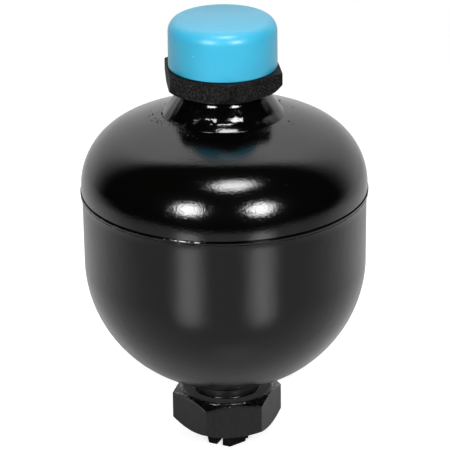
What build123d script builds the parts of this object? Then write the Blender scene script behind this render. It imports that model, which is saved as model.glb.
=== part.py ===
"""Diaphragm accumulator: a welded steel vessel with a rubber diaphragm between its gas and fluid sides.

Millimetres, +Z up along the vessel's axis. The origin is the centre of the fluid port's sealing face.
The gas side is up, and the diaphragm lies at the bottom, as it does while no fluid is in the vessel.
"""

import math
import os

from build123d import *

# Pressed shells. The dome heights run from the end of the straight band to the axis.
shell_radius = 46.5
shell_wall = 4.4
band_step = 0.3
lower_straight = 24.7
lower_dome_height = 43.6
upper_straight = 1.6
upper_dome_height = 26.3
upper_knuckle_radius = 20.9

# Weld bead round the joint of the two shells.
bead_height = 1.1
bead_proud = 0.3
bead_blend = 3.0
bead_blend_lean = 0.3

# Rebate inside the joint, which holds the clamp ring and the diaphragm's edge.
rebate_depth = 1.4
rebate_below = 11.0
rebate_above = 3.0

# Clamp ring.
ring_web_below = 4.0
ring_lip_wall = 2.2
ring_lip_gap = 0.3
ring_lip_short = 1.5
ring_lip_round_share = 0.45
ring_lip_chamfer_share = 0.4

# Diaphragm.
diaphragm_wall = 2.0
diaphragm_edge_width = 4.5
diaphragm_edge_round = 0.8
diaphragm_wall_gap = 0.4
hub_radius = 11.0
hub_height = 6.0
hub_round = 1.6

# Poppet: a disc that closes the port, a stem and a mushroom head inside the hub.
poppet_radius = 9.6
poppet_thickness = 2.6
poppet_edge_round = 0.8
poppet_stem_radius = 3.0
poppet_stem_height = 1.8
poppet_head_radius = 5.4
poppet_head_height = 2.0
poppet_gap = 0.3

# Fluid port: a hexagon with turned chamfers, a neck through the lower shell and a stepped bore.
port_hexagon_flats = 32.0
port_hexagon_turn = 8.2
port_projection = 15.8
port_height = 12.4
port_chamfer_angle = 30.0
port_top_radius = 15.0
port_bottom_radius = 16.0
port_neck_radius = 11.4
port_neck_fillet = 0.4
port_weld_size = 1.6
port_weld_slope = 0.55
port_seat_rise = 0.6
port_thread_radius = 9.3
port_thread_depth = 14.0
port_countersink = 0.9
port_passage_radius = 4.0
drill_tip_angle = 30.0

# Gas neck: a flared foot on the dome, a narrow throat and a stepped bore.
neck_foot_radius = 19.5
neck_foot_edge = 0.5
neck_shoulder_round = 1.2
neck_throat_radius = 14.5
neck_throat_height = 2.4
neck_throat_round = 2.8
neck_spigot_radius = 12.0
neck_spigot_reach = 2.5
neck_thread_radius = 9.0
neck_thread_depth = 11.0
neck_passage_radius = 3.0
neck_height = 9.4

# Gas valve body: a hexagon over the neck, a stem in it and a threaded spigot for the cap.
valve_hexagon_flats = 35.6
valve_hexagon_turn = 36.0
valve_hexagon_height = 6.35
valve_bottom_radius = 18.4
valve_top_radius = 20.3
valve_chamfer_angle = 50.0
valve_stem_length = 9.5
valve_spigot_radius = 13.9
valve_spigot_height = 10.6
valve_spigot_undercut = 0.9
valve_undercut_height = 1.6
valve_spigot_chamfer = 0.9
valve_channel_radius = 1.5

# Charging screw in the valve body, with a socket above and an O-ring round its nose.
screw_radius = 6.0
screw_nose_radius = 4.2
screw_thread_length = 8.6
screw_nose_length = 6.4
screw_tip_length = 1.6
screw_sunk = 1.4
screw_socket_flats = 6.0
screw_socket_depth = 5.0

# O-rings, as squeezed in their grooves.
screw_seal_width = 1.9
screw_seal_depth = 1.2
neck_seal_radius = 10.9
neck_seal_width = 2.0
neck_seal_depth = 1.4
seal_round = 0.4

# Clearance between pieces that are screwed, pressed or welded together, and the length by which
# parts of one solid run into each other and cuts run past a face.
fit_gap = 0.05
overlap = 1.0

# Protective cap.
cap_radius = 17.45
cap_draft = 0.1
cap_height = 15.7
cap_top_round = 4.3
cap_rim_round = 0.4
cap_rim_gap = 0.2
cap_fit_gap = 0.1
cap_top_wall = 3.2
cap_inner_round = 1.0

# Transport plug in the fluid port.
plug_flange_radius = 12.4
plug_flange_height = 1.2
plug_barrel_length = 10.0
plug_barrel_wall = 1.8
plug_floor = 2.0
plug_hexagon_flats = 13.7
plug_hexagon_turn = -23.6
plug_hexagon_height = 8.0
plug_hexagon_chamfer = 0.9
plug_slot_width = 2.2
plug_slot_floor = 1.0

# Share of each half axis by which a smooth curve's handles draw a quarter of an ellipse.
ellipse_pull = 4 / 3 * (math.sqrt(2) - 1)

# Levels worked out from the sizes above.
lower_band_end = port_projection + lower_dome_height
seam = lower_band_end + lower_straight
lower_radius = shell_radius - band_step
inner_radius = lower_radius - shell_wall
rebate_radius = inner_radius + rebate_depth
upper_dome_start = seam + upper_straight
inner_bottom = port_projection + shell_wall
port_seat = inner_bottom + port_seat_rise
hub_bottom = port_seat + poppet_thickness
edge_bottom = seam - rebate_below
edge_top = seam - ring_web_below


def crown_radius(radius, height, knuckle):
    """Radius of the crown that meets a knuckle smoothly and rises to the given height."""
    reach = radius - knuckle
    return (reach**2 + height**2 - knuckle**2) / (2 * (height - knuckle))


upper_crown_radius = crown_radius(shell_radius, upper_dome_height, upper_knuckle_radius)


def upper_dome_level(radius):
    """Height of the upper dome's outside at a radius on its crown."""
    centre = upper_dome_start + upper_dome_height - upper_crown_radius
    return centre + math.sqrt(upper_crown_radius**2 - radius**2)


def lower_dome_level(radius):
    """Height of the lower dome's outside at a radius."""
    return lower_band_end - lower_dome_height * math.sqrt(1 - (radius / lower_radius) ** 2)


foot_level = upper_dome_level(neck_foot_radius)
neck_top = foot_level + neck_height
valve_top = neck_top + valve_hexagon_height
spigot_top = valve_top + valve_spigot_height
cap_rim = valve_top + cap_rim_gap
cap_top = cap_rim + cap_height


def turned(profile):
    """Solid of revolution of a flat profile, with x as the radius and y as the height."""
    return revolve(Plane.XZ * profile, Axis.Z)


def block(inner, outer, bottom, top):
    """Flat rectangle between two radii and two heights."""
    return Pos((inner + outer) / 2, (bottom + top) / 2) * Rectangle(outer - inner, top - bottom)


def cone(bottom_radius, bottom, top_radius, top):
    """Half section of a cone between two heights, from the axis out."""
    corners = [(0, bottom), (bottom_radius, bottom), (top_radius, top), (0, top)]
    return make_face(Polyline(*corners, close=True))


def hexagon(flats, turn, bottom, top):
    """Upright hexagonal prism, with one corner at the given angle from +X."""
    return Pos(0, 0, bottom) * extrude(
        Rot(0, 0, turn) * RegularPolygon(flats / math.sqrt(3), 6),
        top - bottom,
    )


def chamfered_hexagon(flats, turn, bottom, top, bottom_radius, top_radius, angle):
    """Hexagonal prism whose corners are turned off by a cone below and above."""
    outside = flats / math.sqrt(3) + overlap
    rise = math.tan(math.radians(angle))
    outline = Polyline(
        (0, bottom),
        (bottom_radius, bottom),
        (outside, bottom + (outside - bottom_radius) * rise),
        (outside, top - (outside - top_radius) * rise),
        (top_radius, top),
        (0, top),
        close=True,
    )
    return hexagon(flats, turn, bottom, top) & turned(make_face(outline))


def two_arc_dome(radius, height, knuckle, bottom, straight):
    """Half section of a dome on a straight band, from the axis out, filled down to the band's foot."""
    crown = crown_radius(radius, height, knuckle)
    start = bottom + straight
    bend = math.degrees(math.atan2(crown - height, radius - knuckle))
    outline = [
        Line((0, bottom), (radius, bottom)),
        Line((radius, bottom), (radius, start)),
        CenterArc((radius - knuckle, start), knuckle, 0, bend),
        CenterArc((0, start + height - crown), crown, bend, 90 - bend),
        Line((0, start + height), (0, bottom)),
    ]
    return make_face(outline)


def round_bowl(radius, height, straight):
    """Half section of an elliptical bowl under a straight band, filled up to the band's top."""
    top = lower_band_end + straight
    bottom = lower_band_end - height
    outline = [
        Bezier(
            (0, bottom),
            (ellipse_pull * radius, bottom),
            (radius, lower_band_end - ellipse_pull * height),
            (radius, lower_band_end),
        ),
        Polyline((radius, lower_band_end), (radius, top), (0, top), (0, bottom)),
    ]
    return make_face(outline)


def weld_bead():
    """Section of the bead at the lower shell's top edge, blended down into the band."""
    proud = shell_radius + bead_proud
    bead_end = seam - bead_height
    blend_end = bead_end - bead_blend
    outline = [
        Line((inner_radius, seam), (shell_radius, seam)),
        ThreePointArc((shell_radius, seam), (proud, seam - bead_height / 2), (shell_radius, bead_end)),
        Spline(
            (shell_radius, bead_end),
            (lower_radius, blend_end),
            tangents=((-bead_blend_lean, -1), (0, -1)),
        ),
        Polyline((lower_radius, blend_end), (inner_radius, blend_end), (inner_radius, seam)),
    ]
    return make_face(outline)


def make_lower_shell():
    """Deep half: band, bowl, weld bead, inside rebate and the hole for the port."""
    section = round_bowl(lower_radius, lower_dome_height, lower_straight) + weld_bead()
    section -= round_bowl(inner_radius, lower_dome_height - shell_wall, lower_straight)
    section -= block(0, rebate_radius, edge_bottom, seam)
    section -= block(0, port_neck_radius + fit_gap, 0, inner_bottom + lower_dome_height / 2)
    return turned(section)


def make_upper_shell():
    """Shallow half: two-arc dome, inside rebate and the hole for the gas neck."""
    section = two_arc_dome(shell_radius, upper_dome_height, upper_knuckle_radius, seam, upper_straight)
    section -= two_arc_dome(
        inner_radius,
        upper_dome_height - shell_wall,
        upper_knuckle_radius - shell_wall,
        seam,
        upper_straight,
    )
    section -= block(0, rebate_radius, seam, seam + rebate_above)
    section -= block(0, neck_spigot_radius + fit_gap, seam, foot_level + shell_wall)
    return turned(section)


def make_clamp_ring():
    """Ring with a web over the diaphragm's edge and a rounded lip inside it."""
    outer = rebate_radius - fit_gap
    lip_outer = rebate_radius - diaphragm_edge_width - ring_lip_gap
    lip_inner = lip_outer - ring_lip_wall
    lip_end = edge_bottom + ring_lip_short
    section = block(lip_inner, outer, edge_top, seam + rebate_above)
    section += block(lip_inner, lip_outer, lip_end, edge_top)
    ends = section.vertices().sort_by(Axis.Y)[0:2]
    section = fillet(ends, ring_lip_round_share * ring_lip_wall)
    top_corner = section.vertices().group_by(Axis.Y)[-1].sort_by(Axis.X)[0]
    section = chamfer(top_corner, ring_lip_chamfer_share * ring_lip_wall)
    return turned(section)


def make_diaphragm():
    """Rubber cup: thick edge in the rebate, thin wall down the bowl, hub with a pocket for the poppet."""
    outer = inner_radius - diaphragm_wall_gap
    inner = outer - diaphragm_wall
    wall_height = lower_band_end - hub_bottom
    edge = block(rebate_radius - diaphragm_edge_width, rebate_radius - fit_gap, edge_bottom, edge_top)
    edge = fillet(edge.vertices(), diaphragm_edge_round)
    straight = edge_bottom + diaphragm_edge_round - lower_band_end
    cup = round_bowl(outer, wall_height, straight)
    cup -= round_bowl(inner, wall_height - diaphragm_wall, straight + overlap)
    hub = block(0, hub_radius, hub_bottom, hub_bottom + hub_height)
    hub = fillet(hub.vertices().group_by(Axis.Y)[-1].sort_by(Axis.X)[-1], hub_round)
    section = edge + cup + hub
    section -= block(0, outer, port_seat - diaphragm_wall, hub_bottom)
    head_bottom = hub_bottom + poppet_stem_height
    section -= block(0, poppet_stem_radius + poppet_gap, hub_bottom, head_bottom)
    section -= block(0, poppet_head_radius + poppet_gap, head_bottom, head_bottom + poppet_head_height)
    return turned(section)


def make_poppet():
    """Steel button: sealing disc, stem and the mushroom head that the hub holds."""
    head_bottom = hub_bottom + poppet_stem_height
    disc = block(0, poppet_radius, port_seat, hub_bottom)
    disc = fillet(disc.vertices().sort_by(Axis.X)[-2:], poppet_edge_round)
    section = disc + block(0, poppet_stem_radius, hub_bottom, head_bottom)
    section += block(0, poppet_head_radius, head_bottom, head_bottom + poppet_head_height)
    return turned(section)


def port_weld():
    """Section of the weld between the port's neck and the lower dome, clear of the dome by the fit."""
    level = lower_dome_level(port_neck_radius)
    ring = block(
        port_neck_radius - overlap,
        port_neck_radius + port_weld_size,
        level - port_weld_size,
        level + port_weld_size,
    )
    ring -= round_bowl(lower_radius + fit_gap, lower_dome_height + fit_gap, lower_straight)
    outer_low = ring.vertices().group_by(Axis.X)[-1].sort_by(Axis.Y)[0]
    return chamfer(outer_low, port_weld_slope * port_weld_size)


def make_fluid_port():
    """Hexagonal port: chamfered hexagon, neck with the weld, flat seat inside and a stepped bore."""
    body = chamfered_hexagon(
        port_hexagon_flats,
        port_hexagon_turn,
        0,
        port_height,
        port_bottom_radius,
        port_top_radius,
        port_chamfer_angle,
    )
    neck = block(0, port_neck_radius, port_height - overlap, port_seat)
    foot_radius = port_neck_radius + port_neck_fillet
    foot_top = port_height + port_neck_fillet
    foot = block(0, foot_radius, port_height, foot_top)
    foot -= Pos(foot_radius, foot_top) * Circle(port_neck_fillet)
    body += turned(neck + foot + port_weld())
    bore = block(0, port_thread_radius, 0, port_thread_depth)
    bore += cone(port_thread_radius + port_countersink, 0, port_thread_radius, port_countersink)
    tip_slope = math.tan(math.radians(drill_tip_angle))
    tip_end = port_thread_depth + (port_thread_radius - port_passage_radius) * tip_slope
    bore += cone(port_thread_radius, port_thread_depth, port_passage_radius, tip_end)
    bore += block(0, port_passage_radius, port_thread_depth, port_seat)
    return body - turned(bore)


def neck_outline():
    """Half section of the gas neck: foot edge, rounded shoulder, cone and rounded throat."""
    bottom = foot_level - shell_wall
    return [
        Line((0, bottom), (neck_foot_radius, bottom)),
        FilletPolyline(
            (neck_foot_radius, bottom),
            (neck_foot_radius, foot_level + neck_foot_edge),
            (neck_throat_radius, neck_top - neck_throat_height),
            (neck_throat_radius, neck_top),
            radius=[neck_shoulder_round, neck_throat_round],
        ),
        Line((neck_throat_radius, neck_top), (0, neck_top)),
        Line((0, neck_top), (0, bottom)),
    ]


def make_gas_neck():
    """Neck with a flared foot on the dome, a spigot through it, a stepped bore and a seal groove."""
    dome = two_arc_dome(
        shell_radius + fit_gap,
        upper_dome_height + fit_gap,
        upper_knuckle_radius + fit_gap,
        seam,
        upper_straight,
    )
    dome_top = upper_dome_start + upper_dome_height
    spigot_end = dome_top - shell_wall - neck_spigot_reach
    section = make_face(neck_outline()) - dome
    section += block(0, neck_spigot_radius, spigot_end, dome_top)
    section -= block(0, neck_thread_radius, neck_top - neck_thread_depth, neck_top)
    section -= block(0, neck_passage_radius, spigot_end, neck_top)
    groove_inner = neck_seal_radius - neck_seal_width / 2
    groove_outer = neck_seal_radius + neck_seal_width / 2
    section -= block(groove_inner, groove_outer, neck_top - neck_seal_depth, neck_top)
    return turned(section)


def make_neck_seal():
    """O-ring squeezed in the neck's top face."""
    inner = neck_seal_radius - neck_seal_width / 2 + fit_gap
    outer = neck_seal_radius + neck_seal_width / 2 - fit_gap
    section = block(inner, outer, neck_top - neck_seal_depth, neck_top)
    return turned(fillet(section.vertices(), seal_round))


screw_top = spigot_top - screw_sunk
screw_step = screw_top - screw_thread_length
screw_nose_end = screw_step - screw_nose_length
groove_top = screw_step - (screw_nose_length - screw_seal_width) / 2
groove_bottom = groove_top - screw_seal_width


def make_valve_body():
    """Hexagon over the neck, stem in it, threaded spigot above, and the charging screw's stepped bore."""
    body = chamfered_hexagon(
        valve_hexagon_flats,
        valve_hexagon_turn,
        neck_top,
        valve_top,
        valve_bottom_radius,
        valve_top_radius,
        valve_chamfer_angle,
    )
    stem_bottom = neck_top - valve_stem_length
    stem = block(0, neck_thread_radius - fit_gap, stem_bottom, neck_top + overlap)
    stem = chamfer(stem.vertices().group_by(Axis.Y)[0].sort_by(Axis.X)[-1], valve_spigot_chamfer)
    spigot = block(0, valve_spigot_radius, valve_top - overlap, spigot_top)
    spigot -= block(
        valve_spigot_radius - valve_spigot_undercut,
        valve_spigot_radius + overlap,
        valve_top,
        valve_top + valve_undercut_height,
    )
    spigot = chamfer(spigot.vertices().group_by(Axis.Y)[-1].sort_by(Axis.X)[-1], valve_spigot_chamfer)
    bore = block(0, screw_radius, screw_step, spigot_top)
    bore += block(0, screw_nose_radius, screw_nose_end, screw_step)
    seat_end = screw_nose_end - screw_nose_radius + valve_channel_radius
    bore += cone(valve_channel_radius, seat_end, screw_nose_radius, screw_nose_end)
    bore += block(0, valve_channel_radius, stem_bottom, screw_nose_end)
    return body + turned(stem) + turned(spigot) - turned(bore)


def make_charging_screw():
    """Screw with a hexagonal socket, a grooved nose and a conical tip on its seat."""
    nose = screw_nose_radius - fit_gap
    section = block(0, screw_radius - fit_gap, screw_step, screw_top)
    section += block(0, nose, screw_nose_end, screw_step)
    section += cone(nose - screw_tip_length, screw_nose_end - screw_tip_length, nose, screw_nose_end)
    section -= block(nose - screw_seal_depth, nose + overlap, groove_bottom, groove_top)
    socket = hexagon(screw_socket_flats, 0, screw_top - screw_socket_depth, screw_top)
    return turned(section) - socket


def make_screw_seal():
    """O-ring squeezed in the groove of the charging screw's nose."""
    nose = screw_nose_radius - fit_gap
    section = block(nose - screw_seal_depth, nose, groove_bottom, groove_top)
    return turned(fillet(section.vertices(), seal_round))


def make_cap():
    """Plastic cup with drafted side, rounded top and the bore that screws over the spigot."""
    top_radius = cap_radius - cap_draft
    bore_radius = valve_spigot_radius + cap_fit_gap
    section = cone(cap_radius, cap_rim, top_radius, cap_top)
    section = fillet(section.vertices().group_by(Axis.Y)[-1].sort_by(Axis.X)[-1], cap_top_round)
    section = fillet(section.vertices().group_by(Axis.Y)[0].sort_by(Axis.X)[-1], cap_rim_round)
    bore = block(0, bore_radius, cap_rim, cap_top - cap_top_wall)
    bore = fillet(bore.vertices().group_by(Axis.Y)[-1].sort_by(Axis.X)[-1], cap_inner_round)
    return turned(section - bore)


def make_plug():
    """Plastic plug: hollow barrel in the port, flange on its face and a slotted hexagon to turn it by."""
    barrel_radius = port_thread_radius - fit_gap
    section = block(0, barrel_radius, -plug_flange_height, plug_barrel_length)
    section += block(0, plug_flange_radius, -plug_flange_height, 0)
    section -= block(0, barrel_radius - plug_barrel_wall, plug_floor, plug_barrel_length)
    head = hexagon(plug_hexagon_flats, plug_hexagon_turn, -plug_hexagon_height, 0)
    head = chamfer(head.faces().sort_by(Axis.Z)[0].edges(), plug_hexagon_chamfer)
    slot_top = -plug_flange_height - plug_slot_floor
    slot_height = plug_hexagon_height + slot_top
    slot = Box(2 * plug_flange_radius, plug_slot_width, slot_height)
    for quarter in (0, 90):
        head -= Pos(0, 0, slot_top - slot_height / 2) * Rot(0, 0, plug_hexagon_turn + quarter) * slot
    return turned(section) + head


pieces = {
    "lower_shell": make_lower_shell,
    "upper_shell": make_upper_shell,
    "clamp_ring": make_clamp_ring,
    "diaphragm": make_diaphragm,
    "diaphragm_poppet": make_poppet,
    "fluid_port": make_fluid_port,
    "gas_neck": make_gas_neck,
    "valve_body_seal": make_neck_seal,
    "gas_valve_body": make_valve_body,
    "charging_screw": make_charging_screw,
    "charging_screw_seal": make_screw_seal,
    "protective_cap": make_cap,
    "port_plug": make_plug,
}

os.makedirs("parts", exist_ok=True)
for node, make in pieces.items():
    export_step(make(), f"parts/{node}.step")
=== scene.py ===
import math
import random

import bmesh
import bpy
from mathutils import Matrix, Vector, noise


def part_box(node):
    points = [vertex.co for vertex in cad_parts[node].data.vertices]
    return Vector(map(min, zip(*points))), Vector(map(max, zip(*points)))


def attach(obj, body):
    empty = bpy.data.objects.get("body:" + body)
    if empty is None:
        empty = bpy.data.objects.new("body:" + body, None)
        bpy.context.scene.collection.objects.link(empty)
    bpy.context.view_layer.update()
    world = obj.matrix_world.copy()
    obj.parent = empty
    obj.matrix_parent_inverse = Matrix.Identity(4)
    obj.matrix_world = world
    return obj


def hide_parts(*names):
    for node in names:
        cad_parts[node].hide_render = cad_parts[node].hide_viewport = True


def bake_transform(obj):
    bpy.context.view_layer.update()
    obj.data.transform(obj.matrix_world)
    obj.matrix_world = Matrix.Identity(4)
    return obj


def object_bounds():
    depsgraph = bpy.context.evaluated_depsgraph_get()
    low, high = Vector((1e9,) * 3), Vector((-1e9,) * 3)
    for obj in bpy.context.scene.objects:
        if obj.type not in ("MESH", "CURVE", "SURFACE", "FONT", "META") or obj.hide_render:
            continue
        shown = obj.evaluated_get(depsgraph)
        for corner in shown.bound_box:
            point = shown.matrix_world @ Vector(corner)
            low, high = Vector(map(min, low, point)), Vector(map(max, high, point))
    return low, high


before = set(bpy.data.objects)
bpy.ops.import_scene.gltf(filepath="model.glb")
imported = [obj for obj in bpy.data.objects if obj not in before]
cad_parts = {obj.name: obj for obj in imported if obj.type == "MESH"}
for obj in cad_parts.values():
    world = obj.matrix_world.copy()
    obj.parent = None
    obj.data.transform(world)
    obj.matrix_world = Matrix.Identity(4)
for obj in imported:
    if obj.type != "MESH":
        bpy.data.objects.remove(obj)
cad_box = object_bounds()

# Lower shell: the deep half of the vessel, pressed from steel plate into a round bowl under a
# straight band, and rebated inside for the diaphragm's edge. Black enamel was sprayed over the
# whole vessel once it was welded.
mm = 0.001
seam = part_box("lower_shell")[1].z
band_radius = 46.2 * mm
band_end = seam - 24.7 * mm
bowl_height = 43.6 * mm
shell_wall = 4.4 * mm
cavity_radius = band_radius - shell_wall
rebate_radius = 43.2 * mm
rebate_low = seam - 11.0 * mm
port_hole_radius = 11.45 * mm
weld_height = 1.1 * mm
weld_foot_radius = 46.5 * mm
weld_blend = 3.0 * mm
shell_steps = 320
sectors = 16
merge_distance = 0.001 * mm
crease = math.radians(30.0)
enamel_black = (0.0011, 0.001, 0.0009, 1)
enamel_dust = (0.0125, 0.0125, 0.0125, 1)
enamel_ior = 1.565
nib_reach = (0.02, 0.16)
nib_rarity = 0.93
nib_rise = 0.012
mid_noise = (0.3, 0.7)  # where most of a noise's values lie


def line_to(bm, tip, *corners):
    """Draws an outline's straight edges from its tip through corners of radius and height."""
    for radius, height in corners:
        end = bm.verts.new((radius, 0, height))
        bm.edges.new((tip, end))
        tip = end
    return tip


def arc_to(bm, tip, radius, height, angle, steps):
    """Swings the outline's tip round a centre, anticlockwise as seen with the axis on the left."""
    swung = bmesh.ops.spin(
        bm, geom=[tip], cent=(radius, 0, height), axis=(0, -1, 0), angle=angle, steps=steps
    )
    return next(v for v in swung["geom_last"] if isinstance(v, bmesh.types.BMVert))


def round_off(bm, corner, radius, segments):
    """Rounds an outline's corner to a radius."""
    to_one, to_other = [edge.other_vert(corner).co - corner.co for edge in corner.link_edges]
    setback = radius / math.tan(to_one.angle(to_other) / 2)
    bmesh.ops.bevel(
        bm,
        geom=[corner],
        offset=setback,
        offset_type="OFFSET",
        segments=segments,
        profile=0.5,
        affect="VERTICES",
        material=-1,
    )


def bowl_level(radius, height, at):
    """Height of a bowl's outline at a radius."""
    return band_end - height * math.sqrt(1 - (at / radius) ** 2)


def bowl_arc(bm, radius, height, hole, steps):
    """Draws a bowl's outline from a hole's edge up to the band, and gives its two ends."""
    known = set(bm.verts)
    hole_angle = math.asin(hole / radius)
    low = bm.verts.new((hole, 0, -radius * math.cos(hole_angle)))
    high = arc_to(bm, low, 0, 0, math.pi / 2 - hole_angle, steps)
    drawn = [v for v in bm.verts if v not in known]
    bmesh.ops.scale(bm, verts=drawn, vec=(1, 1, height / radius))
    bmesh.ops.translate(bm, verts=drawn, vec=(0, 0, band_end))
    return low, high


def turn(bm, steps):
    """Spins an outline into one sector, repeats it round the vessel's axis and closes the skin."""
    sector = 2 * math.pi / sectors
    around = {"cent": (0, 0, 0), "axis": (0, 0, 1)}
    outline = bm.verts[:] + bm.edges[:]
    bmesh.ops.spin(bm, geom=outline, angle=sector, steps=steps // sectors, **around)
    wedge = bm.verts[:] + bm.edges[:] + bm.faces[:]
    rest = 2 * math.pi - sector
    bmesh.ops.spin(bm, geom=wedge, angle=rest, steps=sectors - 1, use_duplicate=True, **around)
    bmesh.ops.remove_doubles(bm, verts=bm.verts, dist=merge_distance)
    bmesh.ops.recalc_face_normals(bm, faces=bm.faces)


def new_piece(bm, name, material):
    """Makes the mesh an object, smooth up to the crease angle."""
    mesh = bpy.data.meshes.new(name)
    bm.to_mesh(mesh)
    bm.free()
    mesh.shade_smooth()
    mesh.set_sharp_from_angle(angle=crease)
    mesh.materials.append(material)
    piece = bpy.data.objects.new(name, mesh)
    bpy.context.scene.collection.objects.link(piece)
    return piece


def stand_for(piece, node):
    """Fixes a finished piece on the vessel in place of a CAD node."""
    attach(piece, "vessel")
    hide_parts(node)


def add(tree, kind, inputs=None, **settings):
    """Adds a shader node, sets its options, and fills or links its inputs by name or number."""
    new = tree.nodes.new(kind)
    for name, value in settings.items():
        setattr(new, name, value)
    for name, value in (inputs or {}).items():
        if isinstance(value, bpy.types.NodeSocket):
            tree.links.new(value, new.inputs[name])
        else:
            new.inputs[name].default_value = value
    return new


def number(tree, operation, *values):
    """Adds a Math node and gives its result."""
    return add(tree, "ShaderNodeMath", dict(enumerate(values)), operation=operation).outputs[0]


def spread(tree, value, low, high, to_low=0.0, to_high=1.0, smooth=False):
    """Adds a Map Range node that takes low..high to to_low..to_high, and gives its result."""
    ends = {"Value": value, "From Min": low, "From Max": high, "To Min": to_low, "To Max": to_high}
    curve = "SMOOTHSTEP" if smooth else "LINEAR"
    return add(tree, "ShaderNodeMapRange", ends, interpolation_type=curve).outputs[0]


def blend_colours(tree, share, first, second):
    """Adds a colour mix and gives its result."""
    ends = {"Factor": share, 6: first, 7: second}
    return add(tree, "ShaderNodeMix", ends, data_type="RGBA").outputs[2]


def object_place(tree):
    """Gives the place on the piece, which is the place on the vessel too."""
    return add(tree, "ShaderNodeTexCoord").outputs["Object"]


def grains(tree, place, scale, detail):
    """Adds a noise with this many grains to a metre, and gives its value."""
    values = {"Vector": place, "Scale": scale, "Detail": detail}
    return add(tree, "ShaderNodeTexNoise", values).outputs[0]


def new_material(name, **values):
    """Starts a material with one Principled shader that has these plain values."""
    material = bpy.data.materials.new(name)
    material.use_nodes = True
    tree = material.node_tree
    tree.nodes.clear()
    plain = {socket.replace("_", " "): value for socket, value in values.items()}
    shader = add(tree, "ShaderNodeBsdfPrincipled", plain)
    add(tree, "ShaderNodeOutputMaterial", {"Surface": shader.outputs[0]})
    return material, tree, shader


def finish_shader(tree, shader, colour, roughness, height):
    """Links colour and roughness to the shader, and the height (mm) to its normal."""
    bump = add(tree, "ShaderNodeBump", {"Height": height, "Distance": mm, "Strength": 1.0})
    tree.links.new(colour, shader.inputs["Base Color"])
    tree.links.new(roughness, shader.inputs["Roughness"])
    tree.links.new(bump.outputs[0], shader.inputs["Normal"])


# Sprayed skin: fine grain, orange peel, slow sags, a cloudy haze and the odd nib of dust.
sprayed = bpy.data.node_groups.new("sprayed_skin", "ShaderNodeTree")
for direction, names in (
    ("INPUT", ("Grain depth", "Peel per metre", "Peel depth", "Sag depth")),
    ("OUTPUT", ("Height", "Haze", "Nib")),
):
    for name in names:
        sprayed.interface.new_socket(name, in_out=direction, socket_type="NodeSocketFloat")
sizes_in = sprayed.nodes.new("NodeGroupInput").outputs
place = object_place(sprayed)
grain = grains(sprayed, place, scale=1700.0, detail=3.0)
peel = grains(sprayed, place, scale=sizes_in["Peel per metre"], detail=1.5)
sag = grains(sprayed, place, scale=85.0, detail=1.0)
haze = grains(sprayed, place, scale=34.0, detail=5.0)
nib_cell = add(sprayed, "ShaderNodeTexVoronoi", {"Vector": place, "Scale": 420.0}).outputs
nib_near = spread(sprayed, nib_cell["Distance"], *nib_reach, 1.0, 0.0, smooth=True)
nib_pick = add(sprayed, "ShaderNodeSeparateColor", {0: nib_cell["Color"]}).outputs[0]
nib_pick = number(sprayed, "GREATER_THAN", nib_pick, nib_rarity)
nib = number(sprayed, "MULTIPLY", nib_near, nib_pick)
relief = number(sprayed, "MULTIPLY", grain, sizes_in["Grain depth"])
relief = number(sprayed, "MULTIPLY_ADD", peel, sizes_in["Peel depth"], relief)
relief = number(sprayed, "MULTIPLY_ADD", sag, sizes_in["Sag depth"], relief)
relief = number(sprayed, "MULTIPLY_ADD", nib, nib_rise, relief)
add(sprayed, "NodeGroupOutput", {"Height": relief, "Haze": haze, "Nib": nib})


def sprayed_skin(tree, grain_depth, peel_size, peel_depth, sag_depth):
    """Places the sprayed skin in a material. Peel size is in metres and the depths are in mm."""
    sizes = {
        "Grain depth": grain_depth,
        "Peel per metre": 1 / peel_size,
        "Peel depth": peel_depth,
        "Sag depth": sag_depth,
    }
    return add(tree, "ShaderNodeGroup", sizes, node_tree=sprayed).outputs


def sprayed_enamel(name, skin_sizes, roughness):
    """Makes a black enamel with this skin, rougher where the haze is thick."""
    material, tree, shader = new_material(name, IOR=enamel_ior)
    skin = sprayed_skin(tree, *skin_sizes)
    colour = blend_colours(tree, skin["Nib"], enamel_black, enamel_dust)
    hazed = spread(tree, skin["Haze"], *mid_noise, *roughness)
    finish_shader(tree, shader, colour, hazed, skin["Height"])
    return material


lower_skin = (0.045, 2.6 * mm, 0.04, 0.08)
lower_enamel = sprayed_enamel("lower_shell_enamel", lower_skin, roughness=(0.17, 0.24))

bm = bmesh.new()
bowl_low, bowl_high = bowl_arc(bm, band_radius, bowl_height, port_hole_radius, steps=96)
blend_low = seam - weld_height - weld_blend
blend_step = weld_foot_radius - band_radius
blend_radius = (weld_blend**2 + blend_step**2) / (2 * blend_step)
blend_angle = math.asin(weld_blend / blend_radius)
tip = line_to(bm, bowl_high, (band_radius, blend_low))
tip = arc_to(bm, tip, band_radius + blend_radius, blend_low, -blend_angle, steps=6)
tip = line_to(
    bm,
    tip,
    (weld_foot_radius, seam),
    (rebate_radius, seam),
    (rebate_radius, rebate_low),
    (cavity_radius, rebate_low),
)
cavity_height = bowl_height - shell_wall
cavity_low, cavity_high = bowl_arc(bm, cavity_radius, cavity_height, port_hole_radius, steps=48)
bm.edges.new((tip, cavity_high))
bm.edges.new((cavity_low, bowl_low))
turn(bm, shell_steps)
lower_shell = new_piece(bm, "pressed_lower_shell", lower_enamel)
stand_for(lower_shell, "lower_shell")

# Seam weld: the narrow bead that joins the two shells all the way round, laid on the lower
# shell's edge. It is rough over the stretch where the welding started, and smooth where the
# enamel filled it.
bead_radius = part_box("lower_shell")[1].x - 0.03 * mm
bead_root = 46.05 * mm
bead_low = seam - weld_height
bead_foot = (weld_foot_radius - 0.04 * mm, bead_low - 0.2 * mm)
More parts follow.
